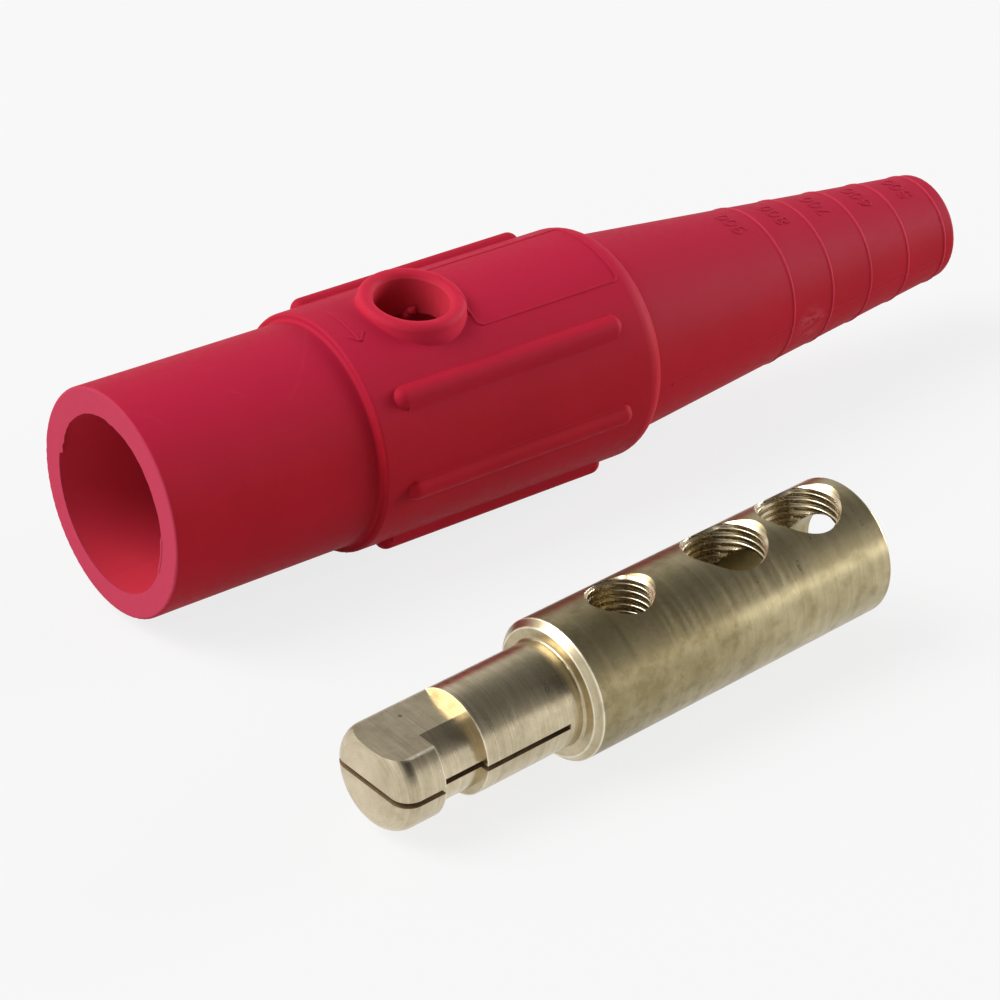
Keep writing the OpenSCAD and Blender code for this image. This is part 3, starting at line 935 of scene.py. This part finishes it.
class CONNECTOR_OT_stage(bpy.types.Operator):
    """Set up the pale floor, the soft lights and the camera"""
    bl_idname = "connector.stage"
    bl_label = "Stage"

    # camera in mm, along and across from the middle of the mouth and above the floor, and its axes
    CAMERA_X, CAMERA_Y, CAMERA_Z = -233.125, -394.977, 266.8
    FORWARD = (0.5406, 0.6943, -0.4750)
    RIGHT = (0.78898, -0.61437, 0.0)
    # width of its sensor in mm and nearest distance that it sees in metres
    SENSOR = 36.0
    NEAREST = 0.01
    # name, power setting, place and target in metres, width and height, colour
    LIGHTS = (
        ("key_light", "key_power",
         (-1.97, 1.05, 2.345), (-0.02, 0.0, 0.02), (2.25, 2.25), (1.0, 0.985, 0.98)),
        ("tail_light", "tail_power",
         (2.0, -0.48, 0.456), (0.0, -0.03, 0.011), (1.1, 0.9), (1.0, 0.97, 0.97)),
        ("card_light", "card_power",
         (1.55, -1.23, 0.26), (0.0, -0.03, 0.011), (1.1, 0.5), (1.0, 1.0, 1.0)),
    )
    # height of a direction, and how bright the room is there
    ROOM_IN_FRONT = ((0.0, 0.50), (0.15, 0.38), (0.35, 0.10), (0.60, 0.05), (0.80, 0.08), (1.0, 0.10))
    ROOM_BEHIND = ((0.0, 0.50), (0.15, 0.58), (0.41, 0.82), (0.62, 0.60), (0.80, 0.20), (1.0, 0.10))
    ROOM_LEFT = ((0.0, 0.90), (0.30, 0.95), (0.55, 0.80), (0.80, 0.30), (1.0, 0.10))
    # directions between which the room passes from front to behind, and from both to the left
    BEHIND_FROM, BEHIND_AT = -0.35, 0.35
    LEFT_FROM, LEFT_AT = -0.2, -0.75
    # how much of the floor's white is its own, and how dark its clouds are
    SELF_LIT = 0.80
    CLOUD_TONE = 0.985

    def floor(self, look):
        half = look.floor_half
        mesh = bpy.data.meshes.new("floor")
        corners = [(-half, -half, 0), (half, -half, 0), (half, half, 0), (-half, half, 0)]
        mesh.from_pydata(corners, [], [(0, 1, 2, 3)])
        made, tree, shader = new_material("pale_floor")
        coords = put(tree, "ShaderNodeTexCoord").outputs["Object"]
        cloud = group_node(tree, soft_mottle(), coords, Scale=6.0, Detail=2.0, Low=0.2, High=0.8)
        tone = blend_colour(tree, cloud, [self.CLOUD_TONE * c for c in look.floor], look.floor)
        tree.links.new(tone, shader.inputs["Base Color"])
        shader.inputs["Roughness"].default_value = 0.9
        shader.inputs["Specular IOR Level"].default_value = 0.1
        # seen directly, in metal or through glass, the floor is mostly white by itself with a soft shadow
        rays = put(tree, "ShaderNodeLightPath").outputs
        seen = most(tree, rays["Is Camera Ray"], rays["Is Glossy Ray"])
        seen = most(tree, seen, rays["Is Transmission Ray"])
        glow = put(tree, "ShaderNodeEmission", {"Color": (1, 1, 1, 1), "Strength": 1.0})
        links = {0: times(tree, seen, self.SELF_LIT), 1: shader.outputs[0], 2: glow.outputs[0]}
        both = put(tree, "ShaderNodeMixShader", links).outputs[0]
        tree.links.new(both, tree.nodes["Material Output"].inputs["Surface"])
        mesh.materials.append(made)
        slab = bpy.data.objects.new("floor", mesh)
        bpy.context.scene.collection.objects.link(slab)

    def room(self):
        """A room that is brighter behind and at the left, and darker overhead."""
        world = bpy.data.worlds.new("studio")
        bpy.context.scene.world = world
        world.use_nodes = True
        tree = world.node_tree
        coords = put(tree, "ShaderNodeTexCoord").outputs["Generated"]
        way = put(tree, "ShaderNodeSeparateXYZ", {0: coords}).outputs
        sides = []
        for stops in (self.ROOM_IN_FRONT, self.ROOM_BEHIND, self.ROOM_LEFT):
            ramp = put(tree, "ShaderNodeValToRGB", {0: way["Z"]})
            while len(ramp.color_ramp.elements) < len(stops):
                ramp.color_ramp.elements.new(0.5)
            for element, (at, level) in zip(ramp.color_ramp.elements, stops):
                element.position = at
                element.color = (level, level, level, 1)
            sides.append(ramp.outputs["Color"])
        in_front, behind, left = sides
        light = blend_colour(tree, spread(tree, way["Y"], self.BEHIND_FROM, self.BEHIND_AT), in_front, behind)
        light = blend_colour(tree, spread(tree, way["X"], self.LEFT_FROM, self.LEFT_AT), light, left)
        sky = tree.nodes["Background"]
        tree.links.new(light, sky.inputs["Color"])
        sky.inputs["Strength"].default_value = 1.0

    def lights(self, look):
        for name, power, spot, target, size, colour in self.LIGHTS:
            lamp = bpy.data.lights.new(name, "AREA")
            lamp.shape = "RECTANGLE"
            lamp.size, lamp.size_y = size
            lamp.energy = getattr(look, power)
            lamp.color = colour
            held = bpy.data.objects.new(name, lamp)
            held.location = spot
            held.rotation_euler = (Vector(target) - Vector(spot)).to_track_quat("-Z", "Y").to_euler()
            held.visible_camera = False
            bpy.context.scene.collection.objects.link(held)

    def camera(self, look):
        camera = bpy.data.cameras.new("camera")
        camera.sensor_width = self.SENSOR
        camera.lens = look.lens
        camera.clip_start = self.NEAREST
        seen = bpy.data.objects.new("camera", camera)
        bpy.context.scene.collection.objects.link(seen)
        ahead, right = Vector(self.FORWARD).normalized(), Vector(self.RIGHT).normalized()
        up = right.cross(ahead)
        mouth = SLEEVE_PLACE.to_translation()
        spot = Vector((mouth.x + self.CAMERA_X * MM, mouth.y + self.CAMERA_Y * MM, self.CAMERA_Z * MM))
        seen.matrix_world = Matrix((
            (right.x, up.x, -ahead.x, spot.x),
            (right.y, up.y, -ahead.y, spot.y),
            (right.z, up.z, -ahead.z, spot.z),
            (0, 0, 0, 1),
        ))
        bpy.context.scene.camera = seen

    def execute(self, context):
        look = context.scene.connector_stage
        self.floor(look)
        self.room()
        self.lights(look)
        self.camera(look)
        context.scene.view_settings.view_transform = "Standard"
        return {"FINISHED"}


class CONNECTOR_PT_panel(bpy.types.Panel):
    """Steps that finish the connector"""
    bl_label = "Cam Lock Connector"
    bl_idname = "CONNECTOR_PT_panel"
    bl_space_type = "VIEW_3D"
    bl_region_type = "UI"
    bl_category = "Connector"

    def draw(self, context):
        scene = context.scene
        for settings in (scene.connector_sleeve, scene.connector_contact, scene.connector_stage):
            box = self.layout.box()
            for key in settings.__annotations__:
                box.prop(settings, key)
        for step in STEPS:
            self.layout.operator(step.bl_idname)


STEPS = (
    CONNECTOR_OT_sleeve_rubber,
    CONNECTOR_OT_contact_brass,
    CONNECTOR_OT_screw_threads,
    CONNECTOR_OT_raised_marks,
    CONNECTOR_OT_ring_numbers,
    CONNECTOR_OT_mould_seams,
    CONNECTOR_OT_mould_flash,
    CONNECTOR_OT_stage,
)
CLASSES = (SleeveSettings, ContactSettings, StageSettings) + STEPS + (CONNECTOR_PT_panel,)


def register():
    for one in CLASSES:
        bpy.utils.register_class(one)
    bpy.types.Scene.connector_sleeve = PointerProperty(type=SleeveSettings)
    bpy.types.Scene.connector_contact = PointerProperty(type=ContactSettings)
    bpy.types.Scene.connector_stage = PointerProperty(type=StageSettings)


def unregister():
    del bpy.types.Scene.connector_stage
    del bpy.types.Scene.connector_contact
    del bpy.types.Scene.connector_sleeve
    for one in reversed(CLASSES):
        bpy.utils.unregister_class(one)


def main():
    register()
    bpy.ops.connector.sleeve_rubber()
    bpy.ops.connector.contact_brass()
    bpy.ops.connector.screw_threads()
    bpy.ops.connector.raised_marks()
    bpy.ops.connector.ring_numbers()
    bpy.ops.connector.mould_seams()
    bpy.ops.connector.mould_flash()
    bpy.ops.connector.stage()
    bpy.context.view_layer.update()


if __name__ == "__main__":
    main()
